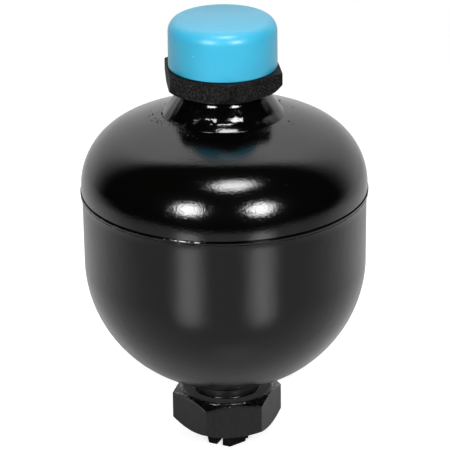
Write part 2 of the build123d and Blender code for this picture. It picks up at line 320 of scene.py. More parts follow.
# The bead's face from the foot up: how far behind the widest place it lies, and how high.
bead_face = [
    (0.14 * mm, bead_low - 0.12 * mm),
    (0.05 * mm, bead_low),
    (0.14 * mm, bead_low + 0.14 * mm),
    (0.05 * mm, bead_low + 0.34 * mm),
    (0.0, bead_low + 0.6 * mm),
]
bead_chamfer = (0.11 * mm, 0.28 * mm)
chamfer_loops = (0.0, 0.1, 0.9, 1.0)
bead_steps = 1280
rough_from = math.radians(-75.0)
rough_to = math.radians(-2.0)
rough_fade = math.radians(6.0)
wave_size = 1.5 * mm
chip_size = 0.6 * mm
chip_shift = Vector((7.0, 0, 0))
chip_depth = 0.02 * mm
chip_drop = 0.05 * mm
worn_waves = (-0.2, -0.08)
ripple_depth = 0.02 * mm
ripple_rough = 0.08 * mm
lap_height = 0.3 * mm
lap_size = 5.0 * mm
lap_depth = 0.22 * mm
lap_wave = 0.12 * mm


def bearing(point):
    """Angle of a point round the vessel, from the front and growing to the right."""
    return math.atan2(point.x, -point.y)


def outward(point):
    """Level direction from the vessel's axis to a point."""
    return Vector((point.x, point.y, 0)).normalized()


def ease(value, low, high):
    """Takes low..high smoothly to 0..1. Low may lie above high."""
    share = min(1.0, max(0.0, (value - low) / (high - low)))
    return share * share * (3 - 2 * share)


bead_skin = (0.012, 1.2 * mm, 0.03, 0.03)
bead_enamel = sprayed_enamel("bead_enamel", bead_skin, roughness=(0.1, 0.18))

bm = bmesh.new()
start = bm.verts.new((bead_root, 0, bead_foot[1]))
for share in chamfer_loops:
    bead_face.append((bead_chamfer[0] * share, seam - bead_chamfer[1] * (1 - share)))
tip = line_to(bm, start, bead_foot, *((bead_radius - back, height) for back, height in bead_face))
tip = line_to(bm, tip, (bead_root, seam))
bm.edges.new((tip, start))
turn(bm, bead_steps)
for v in bm.verts:
    if v.co.xy.length < weld_foot_radius:
        continue
    at = bearing(v.co)
    rough = ease(at, rough_from, rough_from + rough_fade)
    rough *= ease(at, rough_to, rough_to - rough_fade)
    out = outward(v.co)
    wave = noise.noise(v.co / wave_size)
    chip = noise.noise(v.co / chip_size + chip_shift)
    if v.co.z > seam - bead_chamfer[1] / 2:
        worn = rough * ease(wave + chip / 2, *worn_waves)
        v.co += out * ((1 - worn) * bead_chamfer[0] - worn * chip_depth * chip)
        v.co.z -= worn * chip_drop * max(0.0, chip)
    elif v.co.z < seam - 2 * bead_chamfer[1]:
        v.co -= out * (ripple_depth + ripple_rough * rough) * abs(wave)
        if v.co.z < bead_low + lap_height:
            v.co -= out * lap_depth * max(0.0, noise.noise(v.co / lap_size) + wave / 2)
            v.co.z += lap_wave * wave
seam_bead = new_piece(bm, "seam_weld_bead", bead_enamel)
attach(seam_bead, "vessel")

# Upper shell: the shallow half, pressed with a rounded shoulder under a flatter crown. Its lower
# edge stops just above the weld, and the enamel lies glossier here because the vessel dried
# upright, with grit in it round the neck.
upper_radius = 46.5 * mm
dome_start = seam + 1.6 * mm
crown_height = 26.3 * mm
shoulder_radius = 20.9 * mm
rebate_high = seam + 3.0 * mm
groove_height = 0.4 * mm
groove_depth = 0.45 * mm
neck_hole_radius = 12.05 * mm
upper_skin = (0.05, 1.5 * mm, 0.012, 0.03)
upper_roughness = (0.05, 0.09)
grit_reach = (20.0 * mm, 25.0 * mm)
grit_grains = (0.52, 0.7)
grit_rise = 0.035


def crown_radius(radius, height, shoulder):
    """Radius of the crown that meets a shoulder smoothly and rises to the height."""
    reach = radius - shoulder
    return (reach**2 + height**2 - shoulder**2) / (2 * (height - shoulder))


def dome_level(radius, height, shoulder, at):
    """Height of a dome's crown at a radius."""
    crown = crown_radius(radius, height, shoulder)
    return dome_start + height - crown + math.sqrt(crown**2 - at**2)


def dome_arc(bm, radius, height, shoulder, foot, steps):
    """Draws a dome's outline from a foot level to the neck's hole, and gives its two ends."""
    crown = crown_radius(radius, height, shoulder)
    foot_angle = math.asin((foot - dome_start) / shoulder)
    bend = math.atan2(crown - height, radius - shoulder)
    low = bm.verts.new((radius - shoulder + shoulder * math.cos(foot_angle), 0, foot))
    tip = arc_to(bm, low, radius - shoulder, dome_start, bend - foot_angle, steps)
    rest = math.pi / 2 - bend - math.asin(neck_hole_radius / crown)
    return low, arc_to(bm, tip, 0, dome_start + height - crown, rest, steps)


def from_axis(tree, place):
    """Gives the distance of a place from the vessel's axis."""
    flat = add(tree, "ShaderNodeVectorMath", {0: place, 1: (1, 1, 0)}, operation="MULTIPLY")
    length = add(tree, "ShaderNodeVectorMath", {0: flat.outputs[0]}, operation="LENGTH")
    return length.outputs["Value"]


upper_enamel, tree, shader = new_material(
    "upper_shell_enamel", IOR=enamel_ior, Coat_Weight=0.1, Coat_Roughness=0.24
)
skin = sprayed_skin(tree, *upper_skin)
place = object_place(tree)
grit_zone = spread(tree, from_axis(tree, place), *grit_reach, 1.0, 0.0, smooth=True)
grit = spread(tree, grains(tree, place, scale=2200.0, detail=2.0), *grit_grains, 0.0, grit_rise)
finish_shader(
    tree,
    shader,
    blend_colours(tree, skin["Nib"], enamel_black, enamel_dust),
    spread(tree, skin["Haze"], *mid_noise, *upper_roughness),
    number(tree, "MULTIPLY_ADD", grit, grit_zone, skin["Height"]),
)

bm = bmesh.new()
upper_form = (upper_radius, crown_height, shoulder_radius)
dome_low, dome_high = dome_arc(bm, *upper_form, dome_start, steps=48)
tip = line_to(
    bm,
    dome_low,
    (upper_radius, seam + groove_height),
    (upper_radius - groove_depth, seam + groove_height),
    (upper_radius - groove_depth, seam),
    (rebate_radius, seam),
    (rebate_radius, rebate_high),
)
inner_form = (cavity_radius, crown_height - shell_wall, shoulder_radius - shell_wall)
inner_low, inner_high = dome_arc(bm, *inner_form, rebate_high, steps=24)
bm.edges.new((tip, inner_low))
bm.edges.new((inner_high, dome_high))
turn(bm, shell_steps)
upper_shell = new_piece(bm, "pressed_upper_shell", upper_enamel)
stand_for(upper_shell, "upper_shell")

# Gas neck: a turned steel boss with a flared foot, welded on the upper shell and sprayed with it.
# The flare is hollowed unevenly at the front and back, and the enamel gathered in runs down it.
neck_low, neck_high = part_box("gas_neck")
neck_top = neck_high.z
foot_radius = neck_high.x
foot_edge = 0.1 * mm
foot_round = 0.2 * mm
throat_radius = 14.5 * mm
throat_height = 2.4 * mm
throat_round = 2.8 * mm
neck_bore_radius = 9.0 * mm
neck_bore_depth = 11.0 * mm
neck_passage_radius = 3.0 * mm
neck_spigot_radius = 12.0 * mm
seal_groove = (9.9 * mm, 11.9 * mm)
seal_groove_depth = 1.4 * mm
weld_gap = 0.05 * mm
flare_cuts = 30
flare_edges = (0.02 * mm, 0.05 * mm)  # left as they are at the foot and at the throat
# Depth of the flare's hollow (mm) at shares of its height, and how far its corners are
# softened. It is there where the flare faces the front or the back, by its bearing's cosine,
# and deeper on the right of the front.
hollow_depths = [
    (-0.1, 0.0), (0.0, 0.0), (0.115, 0.19), (0.3, 0.8), (0.52, 0.36), (0.9, 0.0), (1.1, 0.0)
]
hollow_soften = 0.035
soften_nudges = (-1.0, -0.5, 0.0, 0.5, 1.0)
hollow_facing = (0.2, 0.75)
hollow_lumps = 0.22
hollow_lump_size = 2.2 * mm
hollow_slant = 0.9
slant_bearings = (0.9, 0.3)
# The hollow sits lower on the left: share of the height, and bearings in degrees.
hollow_drop = 0.2
drop_starts = (-22.0, -40.0)
drop_ends = (-90.0, -60.0)
# Runs of enamel down the flare: bearing and width in degrees, and thickness in mm. They wander
# by degrees, and fade at the foot and the head by shares of the height.
enamel_runs = [
    (-35.0, 5.5, 0.46),
    (-58.0, 2.5, 0.05),
    (-66.0, 3.0, 0.08),
    (-77.0, 3.0, 0.06),
    (-97.0, 6.0, 0.25),
    (52.0, 4.0, 0.05),
    (66.0, 5.0, 0.12),
    (128.0, 5.0, 0.18),
    (171.0, 7.0, 0.24),
]
run_wander = 2.5
run_waves = 2.2
run_foot = (-0.12, 0.15)
run_head = (1.02, 0.82)
neck_skin = (0.03, 1.4 * mm, 0.03, 0.06)

neck_enamel = sprayed_enamel("neck_enamel", neck_skin, roughness=(0.06, 0.13))

bm = bmesh.new()
dome_fit = (upper_radius + weld_gap, crown_height + weld_gap, shoulder_radius + weld_gap)
foot_level = dome_level(*dome_fit, foot_radius)
spigot_corner = bm.verts.new((neck_spigot_radius, 0, dome_level(*dome_fit, neck_spigot_radius)))
foot_crown = crown_radius(*dome_fit)
foot_sweep = math.asin(neck_spigot_radius / foot_crown) - math.asin(foot_radius / foot_crown)
crown_centre = dome_start + dome_fit[1] - foot_crown
foot_corner = arc_to(bm, spigot_corner, 0, crown_centre, foot_sweep, steps=8)
flare_low = foot_level + foot_edge
flare_high = neck_top - throat_height
shoulder_corner = line_to(bm, foot_corner, (foot_radius, flare_low))
throat_corner = line_to(bm, shoulder_corner, (throat_radius, flare_high))
tip = line_to(
    bm,
    throat_corner,
    (throat_radius, neck_top),
    (seal_groove[1], neck_top),
    (seal_groove[1], neck_top - seal_groove_depth),
    (seal_groove[0], neck_top - seal_groove_depth),
    (seal_groove[0], neck_top),
    (neck_bore_radius, neck_top),
    (neck_bore_radius, neck_top - neck_bore_depth),
    (neck_passage_radius, neck_top - neck_bore_depth),
    (neck_passage_radius, neck_low.z),
    (neck_spigot_radius, neck_low.z),
)
bm.edges.new((tip, spigot_corner))
round_off(bm, shoulder_corner, foot_round, segments=12)
round_off(bm, throat_corner, throat_round, segments=16)
outer_edges = [e for e in bm.edges if min(v.co.x for v in e.verts) > neck_spigot_radius]
flare = max(outer_edges, key=lambda edge: edge.calc_length())
bmesh.ops.subdivide_edges(bm, edges=[flare], cuts=flare_cuts)
turn(bm, steps=480)


def hollow_depth(up):
    """Depth of the flare's hollow at a share of its height."""
    total = 0.0
    for nudge in soften_nudges:
        at = up + nudge * hollow_soften
        for (low, low_depth), (high, high_depth) in zip(hollow_depths, hollow_depths[1:]):
            if low <= at < high:
                total += low_depth + (high_depth - low_depth) * (at - low) / (high - low)
    return total / len(soften_nudges) * mm


for v in bm.verts:
    on_flare = foot_level + flare_edges[0] <= v.co.z <= flare_high
    if not on_flare or v.co.xy.length < throat_radius + flare_edges[1]:
        continue
    at = bearing(v.co)
    degrees = math.degrees(at)
    up = (v.co.z - flare_low) / (flare_high - flare_low)
    uneven = 1.0 + hollow_lumps * noise.noise(v.co / hollow_lump_size)
    uneven += hollow_slant * math.sin(at) * ease(abs(at), *slant_bearings)
    drop = hollow_drop * ease(degrees, *drop_starts) * ease(degrees, *drop_ends)
    hollow = hollow_depth(up + drop) * ease(abs(math.cos(at)), *hollow_facing) * uneven
    runs = 0.0
    for run_bearing, width, thickness in enamel_runs:
        wander = run_wander * noise.noise(Vector((run_bearing, up * run_waves, 0)))
        off = (degrees - run_bearing - wander + 180) % 360 - 180
        runs += thickness * mm * math.exp(-((off / width) ** 2))
    v.co += outward(v.co) * (ease(up, *run_foot) * ease(up, *run_head) * runs - hollow)
gas_neck = new_piece(bm, "turned_gas_neck", neck_enamel)
stand_for(gas_neck, "gas_neck")

# Weld spatter: beads of steel that froze on the crown round the neck's foot, more of them on the
# left, and were enamelled over.
spatter_seed = 11
spatter_count = 90
spatter_sizes = (0.1 * mm, 0.34 * mm)
spatter_small = 3
spatter_gap = 0.1 * mm
spatter_reach = 4.5 * mm
spatter_close = 2.2
spatter_side = math.radians(-62.0)
spatter_side_spread = 0.5
spatter_side_share = 0.6
spatter_flat = (0.5, 0.8)
spatter_long = (0.8, 1.2)

random.seed(spatter_seed)
bm = bmesh.new()
for _ in range(spatter_count):
    growth = spatter_sizes[1] - spatter_sizes[0]
    size = spatter_sizes[0] + growth * random.random() ** spatter_small
    if random.random() < spatter_side_share:
        at = random.gauss(spatter_side, spatter_side_spread)
    else:
        at = random.uniform(-math.pi, math.pi)
    radius = foot_radius + spatter_gap + spatter_reach * random.random() ** spatter_close
    bead = bmesh.ops.create_icosphere(bm, subdivisions=2, radius=size)["verts"]
    level = dome_level(*upper_form, radius) + size / 4
    flat = random.uniform(*spatter_flat)
    bmesh.ops.scale(bm, verts=bead, vec=(1, random.uniform(*spatter_long), flat))
    spot = (radius * math.sin(at), -radius * math.cos(at), level)
    bmesh.ops.translate(bm, verts=bead, vec=spot)
spatter = new_piece(bm, "neck_weld_spatter", neck_enamel)
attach(spatter, "vessel")

# Gas valve body: turned from hexagon bar, phosphated matt black and screwed into the neck. Its
# hexagon shows between the neck and the cap, and the cap screws on the spigot above it.
valve_low, valve_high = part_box("gas_valve_body")
spigot_top = valve_high.z
valve_flats = 35.6 * mm
valve_turn = math.radians(36.0)
valve_top = neck_top + 6.35 * mm
valve_bottom_radius = 18.4 * mm
valve_top_radius = 20.3 * mm
valve_slope = math.tan(math.radians(50.0))
stem_radius = 8.95 * mm
spigot_radius = 13.9 * mm
undercut = 0.9 * mm
undercut_height = 1.6 * mm
end_chamfer = 0.9 * mm
screw_bore_radius = 6.0 * mm
nose_bore_radius = 4.2 * mm
channel_radius = 1.5 * mm
screw_step = spigot_top - 10.0 * mm
nose_end = screw_step - 6.4 * mm
cut_margin = 1.0 * mm
phosphate_dark = (0.0008, 0.0008, 0.0008, 1)
phosphate_pale = (0.028, 0.027, 0.026, 1)
crystal_tones = (0.46, 0.72)
crystal_depth = 0.05
patch_share = 0.15
phosphate_roughness = (0.5, 0.66)


def hexagon_bar(flats, turn_angle, low, high):
    """Upright hexagon bar, with one corner at an angle from the X axis."""
    bm = bmesh.new()
    ends = bmesh.ops.create_circle(bm, cap_ends=True, segments=6, radius=flats / math.sqrt(3))
    first = min(ends["verts"], key=lambda v: -v.co.x)
    corner_angle = math.atan2(first.co.y, first.co.x)
    turned = Matrix.Rotation(turn_angle - corner_angle, 3, "Z")
    bmesh.ops.rotate(bm, verts=bm.verts, matrix=turned)
    bmesh.ops.translate(bm, verts=bm.verts, vec=(0, 0, low))
    raised = bmesh.ops.extrude_face_region(bm, geom=bm.faces[:])
    lifted = [v for v in raised["geom"] if isinstance(v, bmesh.types.BMVert)]
    bmesh.ops.translate(bm, verts=lifted, vec=(0, 0, high - low))
    bmesh.ops.recalc_face_normals(bm, faces=bm.faces)
    return bm


def bake_modifiers(piece):
    """Applies a piece's modifiers to its mesh."""
    shape = piece.evaluated_get(bpy.context.evaluated_depsgraph_get())
    baked = bpy.data.meshes.new_from_object(shape)
    piece.modifiers.clear()
    piece.data = baked


def cut_with(piece, operation, tool_bm):
    """Applies a boolean of a mesh to a piece, and leaves nothing live on it."""
    tool_mesh = bpy.data.meshes.new("tool")
    tool_bm.to_mesh(tool_mesh)
    tool_bm.free()
    tool = bpy.data.objects.new("tool", tool_mesh)
    bpy.context.scene.collection.objects.link(tool)
    cut = piece.modifiers.new("cut", "BOOLEAN")
    cut.operation = operation
    cut.solver = "EXACT"
    cut.object = tool
    bake_modifiers(piece)
    bpy.data.objects.remove(tool)


def break_edges(piece, width, segments):
    """Rounds every edge that is sharper than the crease, as deburring and paint leave them."""
    edges = piece.modifiers.new("edges", "BEVEL")
    edges.width = width
    edges.segments = segments
    edges.limit_method = "ANGLE"
    edges.angle_limit = crease
    edges.profile = 0.5
    edges.harden_normals = True
    bake_modifiers(piece)


phosphate, tree, shader = new_material("phosphate_coat", IOR=1.4, Specular_IOR_Level=0.2)
place = object_place(tree)
crystal = grains(tree, place, scale=1700.0, detail=3.0)
patch = grains(tree, place, scale=160.0, detail=4.0)
patches = spread(tree, patch, *mid_noise, 0.0, patch_share)
tone = number(tree, "ADD", spread(tree, crystal, *crystal_tones), patches)
finish_shader(
    tree,
    shader,
    blend_colours(tree, tone, phosphate_dark, phosphate_pale),
    spread(tree, patch, *mid_noise, *phosphate_roughness),
    number(tree, "MULTIPLY", crystal, crystal_depth),
)

bm = bmesh.new()
outside = valve_flats / math.sqrt(3) + cut_margin
stem_foot = bm.verts.new((channel_radius, 0, valve_low.z))
tip = line_to(
    bm,
    stem_foot,
    (stem_radius - end_chamfer, valve_low.z),
    (stem_radius, valve_low.z + end_chamfer),
    (stem_radius, neck_top),
    (valve_bottom_radius, neck_top),
    (outside, neck_top + (outside - valve_bottom_radius) * valve_slope),
    (outside, valve_top - (outside - valve_top_radius) * valve_slope),
    (valve_top_radius, valve_top),
    (spigot_radius - undercut, valve_top),
    (spigot_radius - undercut, valve_top + undercut_height),
    (spigot_radius, valve_top + undercut_height),
    (spigot_radius, spigot_top - end_chamfer),
    (spigot_radius - end_chamfer, spigot_top),
    (screw_bore_radius, spigot_top),
    (screw_bore_radius, screw_step),
    (nose_bore_radius, screw_step),
    (nose_bore_radius, nose_end),
    (channel_radius, nose_end - nose_bore_radius + channel_radius),
)
bm.edges.new((tip, stem_foot))
turn(bm, steps=192)
valve_body = new_piece(bm, "turned_valve_body", phosphate)
valve_ends = (valve_low.z - cut_margin, spigot_top + cut_margin)
cut_with(valve_body, "INTERSECT", hexagon_bar(valve_flats, valve_turn, *valve_ends))
break_edges(valve_body, 0.3 * mm, segments=2)
stand_for(valve_body, "gas_valve_body")

# Protective cap: blue plastic, moulded in one shot with drafted sides and a rounded top, and
# screwed on by hand, a little askew. Its top is left plain inside a faint turned line from the
# mould, and the gate left a small pip on its side.
cap_low, cap_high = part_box("protective_cap")
cap_rim = cap_low.z
cap_top = cap_high.z
cap_radius = 17.45 * mm
cap_top_radius = 17.35 * mm
cap_top_round = 4.3 * mm
cap_rim_round = 0.4 * mm
cap_bore_radius = 14.0 * mm
cap_bore_top = cap_top - 3.2 * mm
cap_bore_round = 1.0 * mm
mould_line_radius = 13.3 * mm
mould_line_width = 0.36 * mm
mould_line_depth = 0.07 * mm
cap_lean = 0.17 * mm
cap_lean_bearing = math.radians(60.0)
gate_bearing = math.radians(-32.0)
gate_height = 7.6 * mm
gate_radius = 0.42 * mm
gate_sunk = 0.55
cap_blue = (0.041, 0.425, 0.64, 1)
cap_blue_pale = (0.045, 0.45, 0.68, 1)
# Paler blue for faces that point up: a painted sheen for the light the cap's top catches.
cap_blue_painted_sheen = (0.098, 0.465, 0.67, 1)
painted_sheen_slopes = (0.5, 0.97)
cap_etch_depth = 0.004
cap_roughness = (0.32, 0.38)


def facing_up(tree):
    """Gives how far the surface faces up: 1 on a level top and 0 on an upright side."""
    normal = add(tree, "ShaderNodeTexCoord").outputs["Normal"]
    return add(tree, "ShaderNodeSeparateXYZ", {0: normal}).outputs[2]


cap_plastic, tree, shader = new_material(
    "cap_plastic", IOR=1.54, Subsurface_Weight=0.08, Subsurface_Scale=0.002
)
place = object_place(tree)
mottle = grains(tree, place, scale=120.0, detail=3.0)
etch = grains(tree, place, scale=1500.0, detail=2.0)
cap_colour = blend_colours(tree, spread(tree, mottle, *mid_noise), cap_blue, cap_blue_pale)
# Faces that point up get the paler blue: a painted sheen for the backdrop and overhead lamp
# lighting the cap's top.
painted_sheen = spread(tree, facing_up(tree), *painted_sheen_slopes)
finish_shader(
    tree,
    shader,
    blend_colours(tree, painted_sheen, cap_colour, cap_blue_painted_sheen),
    spread(tree, mottle, *mid_noise, *cap_roughness),
    number(tree, "MULTIPLY", etch, cap_etch_depth),
)

bm = bmesh.new()
bore_mouth = bm.verts.new((cap_bore_radius, 0, cap_rim))
rim_corner = line_to(bm, bore_mouth, (cap_radius, cap_rim))
top_corner = line_to(bm, rim_corner, (cap_top_radius, cap_top))
line_to(
    bm,
    top_corner,
    (mould_line_radius + mould_line_width / 2, cap_top),
    (mould_line_radius, cap_top - mould_line_depth),
    (mould_line_radius - mould_line_width / 2, cap_top),
    (0, cap_top),
)
bore_middle = bm.verts.new((0, 0, cap_bore_top))
bore_corner = line_to(bm, bore_middle, (cap_bore_radius, cap_bore_top))
bm.edges.new((bore_corner, bore_mouth))
round_off(bm, rim_corner, cap_rim_round, segments=4)
round_off(bm, top_corner, cap_top_round, segments=20)
round_off(bm, bore_corner, cap_bore_round, segments=6)
turn(bm, steps=256)
for v in bm.verts:
    down = (cap_top - v.co.z) / (cap_top - cap_rim)
    toward = v.co.xy.length * math.cos(bearing(v.co) - cap_lean_bearing) / cap_radius
    v.co.z -= cap_lean * toward * down
cap = new_piece(bm, "moulded_cap", cap_plastic)
bm = bmesh.new()
bmesh.ops.create_uvsphere(bm, u_segments=24, v_segments=12, radius=gate_radius)
gate_reach = cap_radius - gate_radius * gate_sunk
gate_place = Vector((math.sin(gate_bearing), -math.cos(gate_bearing), 0)) * gate_reach
gate_place.z = cap_rim + gate_height
bmesh.ops.translate(bm, verts=bm.verts, vec=gate_place)
cut_with(cap, "UNION", bm)
stand_for(cap, "protective_cap")

# Fluid port: turned from hexagon bar with a chamfer at each end, welded under the lower shell and
# sprayed with it, so that the paint lies wet on its chamfers, dry on its top and thick along its
# edges. Its bore takes the fitting, and the poppet seats on its inner end.
port_flats = 32.0 * mm
port_turn = math.radians(8.2)
port_height = 12.4 * mm
port_top_radius = 15.0 * mm
port_bottom_radius = 16.0 * mm
port_slope = math.tan(math.radians(30.0))
port_neck_radius = 11.4 * mm
port_neck_fillet = 0.4 * mm
port_weld = 1.6 * mm
port_weld_chamfer = 0.88 * mm
port_thread_radius = 9.3 * mm
port_thread_depth = 14.0 * mm
port_mouth = 0.9 * mm
port_passage_radius = 4.0 * mm
port_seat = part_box("fluid_port")[1].z
port_skin = (0.03, 1.0 * mm, 0.03, 0.03)
port_dust = (0.045, 0.044, 0.043, 1)
saw_stretch = (1.0, 1.0, 0.25)
saw_depth = 0.03
saw_roughness = (0.3, 0.42)
saw_dust_marks = (0.45, 0.75)
dry_slopes = (0.93, 0.99)
wet_slopes = (0.1, 0.4)
dry_dust = 0.9
saw_dust = 0.16
dry_rougher = 0.25
wet_smoother = -0.27
thick_smoother = -0.3
port_smoothest = 0.08
# Bands of thick paint, where each starts and is full before the edge that it follows.
thick_at_face = (0.6 * mm, 0.2 * mm)
thick_at_cone = (0.7 * mm, 0.25 * mm)
thick_at_rim = (0.5 * mm, 0.1 * mm)
thick_at_top = (0.4 * mm, 0.1 * mm)
droplet_depth = 0.6


def nearing(tree, value, edge, band):
    """Gives 0 to 1 over a band that ends before an edge."""
    return spread(tree, value, edge - band[0], edge - band[1])


port_enamel, tree, shader = new_material("port_enamel", IOR=1.455)
skin = sprayed_skin(tree, *port_skin)
place = object_place(tree)
upward = facing_up(tree)
drawn = add(tree, "ShaderNodeMapping", {"Vector": place, "Scale": saw_stretch}).outputs[0]
saw_marks = grains(tree, drawn, scale=1500.0, detail=3.0)
dry_top = spread(tree, upward, *dry_slopes)
wet_chamfer = number(tree, "SUBTRACT", spread(tree, upward, *wet_slopes), dry_top)
dust = spread(tree, saw_marks, *saw_dust_marks, 0.0, saw_dust)
dust = number(tree, "MULTIPLY_ADD", dry_top, dry_dust, dust)
port_colour = blend_colours(tree, dust, enamel_black, port_dust)

across = add(tree, "ShaderNodeSeparateXYZ", {0: place}).outputs
turned_by = number(tree, "SUBTRACT", number(tree, "ARCTAN2", across[1], across[0]), port_turn)
half_face = math.pi / 6
from_face = number(tree, "SUBTRACT", turned_by, half_face)
from_face = number(tree, "WRAP", from_face, half_face, -half_face)
reach = from_axis(tree, place)
to_face = number(tree, "MULTIPLY", reach, number(tree, "COSINE", from_face))
to_cone = number(tree, "MULTIPLY_ADD", reach, port_slope, across[2])
cone_level = port_height + port_top_radius * port_slope
near_face = nearing(tree, to_face, port_flats / 2, thick_at_face)
near_cone = nearing(tree, to_cone, cone_level, thick_at_cone)
near_rim = nearing(tree, reach, port_top_radius, thick_at_rim)
near_top = nearing(tree, across[2], port_height, thick_at_top)
thick_arc = number(tree, "MULTIPLY", near_face, near_cone)
thick_rim = number(tree, "MULTIPLY", near_rim, near_top)
thick = number(tree, "MAXIMUM", thick_arc, thick_rim)

port_roughness = spread(tree, saw_marks, *mid_noise, *saw_roughness)
for zone, change in ((wet_chamfer, wet_smoother), (dry_top, dry_rougher), (thick, thick_smoother)):
    port_roughness = number(tree, "MULTIPLY_ADD", zone, change, port_roughness)
port_roughness = number(tree, "MAXIMUM", port_roughness, port_smoothest)
droplets = grains(tree, place, scale=900.0, detail=2.0)
droplets = number(tree, "MULTIPLY", number(tree, "MULTIPLY", droplets, thick), droplet_depth)
saw_height = number(tree, "MULTIPLY_ADD", saw_marks, saw_depth, skin["Height"])
port_height_map = number(tree, "ADD", saw_height, droplets)
finish_shader(tree, shader, port_colour, port_roughness, port_height_map)

bm = bmesh.new()
outside = port_flats / math.sqrt(3) + cut_margin
weld_radius = port_neck_radius + port_weld
weld_level = bowl_level(band_radius, bowl_height, port_neck_radius) - port_weld
bowl_fit = (band_radius + weld_gap, bowl_height + weld_gap)
drill_tip = port_thread_depth + (port_thread_radius - port_passage_radius) * port_slope
mouth = bm.verts.new((port_thread_radius + port_mouth, 0, 0))
tip = line_to(
    bm,
    mouth,
    (port_bottom_radius, 0),
    (outside, (outside - port_bottom_radius) * port_slope),
    (outside, port_height - (outside - port_top_radius) * port_slope),
    (port_top_radius, port_height),
)
neck_corner = line_to(bm, tip, (port_neck_radius, port_height))
tip = line_to(
    bm,
    neck_corner,
    (port_neck_radius, weld_level),
    (weld_radius - port_weld_chamfer, weld_level),
    (weld_radius, weld_level + port_weld_chamfer),
    (weld_radius, bowl_level(*bowl_fit, weld_radius)),
    (port_neck_radius, bowl_level(*bowl_fit, port_neck_radius)),
    (port_neck_radius, port_seat),
    (port_passage_radius, port_seat),
    (port_passage_radius, drill_tip),
    (port_thread_radius, port_thread_depth),
    (port_thread_radius, port_mouth),
)
bm.edges.new((tip, mouth))
round_off(bm, neck_corner, port_neck_fillet, segments=5)
turn(bm, steps=192)
fluid_port = new_piece(bm, "turned_fluid_port", port_enamel)
port_ends = (-cut_margin, port_seat + cut_margin)
cut_with(fluid_port, "INTERSECT", hexagon_bar(port_flats, port_turn, *port_ends))
break_edges(fluid_port, 0.55 * mm, segments=4)
stand_for(fluid_port, "fluid_port")

# Port plug: black plastic, moulded as a thin barrel with a flange and a small slotted hexagon. It
# keeps the port's thread clean until a fitting goes in.
plug_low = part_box("port_plug")[0].z
plug_barrel_radius = 9.25 * mm
plug_barrel_length = 10.0 * mm
plug_wall = 1.8 * mm
plug_floor = 2.0 * mm
plug_flange_radius = 12.4 * mm
plug_flange = 1.2 * mm
plug_flats = 13.7 * mm
plug_turn = math.radians(-23.6)
plug_slot = 2.2 * mm
plug_slot_top = -2.2 * mm
plug_chamfer = 0.5 * mm
same_level = 0.01 * mm
plug_black = (0.0017, 0.0015, 0.0015, 1)
plug_worn = (0.008, 0.008, 0.008, 1)
plug_wear = (0.4, 0.75)
plug_etch_depth = 0.01
plug_roughness = (0.42, 0.58)

plug_plastic, tree, shader = new_material("plug_plastic", IOR=1.4, Specular_IOR_Level=0.1)
place = object_place(tree)
etch = grains(tree, place, scale=1800.0, detail=3.0)
wear = grains(tree, place, scale=260.0, detail=4.0)
finish_shader(
    tree,
    shader,
    blend_colours(tree, spread(tree, wear, *plug_wear), plug_black, plug_worn),
    spread(tree, wear, *mid_noise, *plug_roughness),
    number(tree, "MULTIPLY", etch, plug_etch_depth),
)

bm = hexagon_bar(plug_flats, plug_turn, plug_low, -plug_flange / 2)
foot = [e for e in bm.edges if all(abs(v.co.z - plug_low) < same_level for v in e.verts)]
bmesh.ops.bevel(
    bm,
    geom=foot,
    offset=plug_chamfer,
    offset_type="OFFSET",
    segments=1,
    profile=0.5,
    affect="EDGES",
    material=-1,
)
plug = new_piece(bm, "moulded_plug", plug_plastic)
slot_box = (2 * plug_flats, plug_slot, 2 * (plug_slot_top - plug_low))
for quarter in (0, math.pi / 2):
    slot_turn = Matrix.Rotation(plug_turn + quarter, 3, "Z")
    bm = bmesh.new()
    bmesh.ops.create_cube(bm, size=1.0)
    bmesh.ops.scale(bm, verts=bm.verts, vec=slot_box)
    bmesh.ops.translate(bm, verts=bm.verts, vec=(0, 0, plug_low))
    bmesh.ops.rotate(bm, verts=bm.verts, matrix=slot_turn)
    cut_with(plug, "DIFFERENCE", bm)
bm = bmesh.new()
line_to(
    bm,
    bm.verts.new((0, 0, -plug_flange)),
    (plug_flange_radius, -plug_flange),
    (plug_flange_radius, 0),
    (plug_barrel_radius, 0),
    (plug_barrel_radius, plug_barrel_length),
    (plug_barrel_radius - plug_wall, plug_barrel_length),
    (plug_barrel_radius - plug_wall, plug_floor),
    (0, plug_floor),
)
turn(bm, steps=96)
cut_with(plug, "UNION", bm)
break_edges(plug, 0.3 * mm, segments=3)
stand_for(plug, "port_plug")

# Diaphragm: a nitrile rubber cup, moulded with a thick edge that the clamp ring holds and a hub
# that snaps over the poppet. Gas above presses it down, and fluid below lifts it.
diaphragm_low, diaphragm_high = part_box("diaphragm")
cup_radius = 41.4 * mm
cup_wall = 2.0 * mm
cup_height = band_end - diaphragm_low.z
cup_inner = (cup_radius - cup_wall, cup_height - cup_wall)
edge_low = rebate_low
edge_high = diaphragm_high.z
edge_in = 38.7 * mm
edge_out = 43.15 * mm
edge_round = 0.8 * mm
hub_radius = 11.0 * mm
hub_top = diaphragm_low.z + 6.0 * mm
hub_round = 1.6 * mm
stem_hole = 3.3 * mm
head_hole = 5.7 * mm
head_low = diaphragm_low.z + 1.8 * mm
head_high = head_low + 2.0 * mm
rubber_black = (0.014, 0.014, 0.014, 1)
rubber_bloomed = (0.03, 0.029, 0.028, 1)
bloom_patches = (0.35, 0.75)
pore_depth = 0.01
rubber_roughness = (0.5, 0.7)

rubber, tree, shader = new_material("moulded_rubber", IOR=1.5)
place = object_place(tree)
bloom = grains(tree, place, scale=70.0, detail=5.0)
pores = grains(tree, place, scale=2200.0, detail=2.0)
finish_shader(
    tree,
    shader,
    blend_colours(tree, spread(tree, bloom, *bloom_patches), rubber_black, rubber_bloomed),
    spread(tree, bloom, *mid_noise, *rubber_roughness),
    number(tree, "MULTIPLY", pores, pore_depth),
)

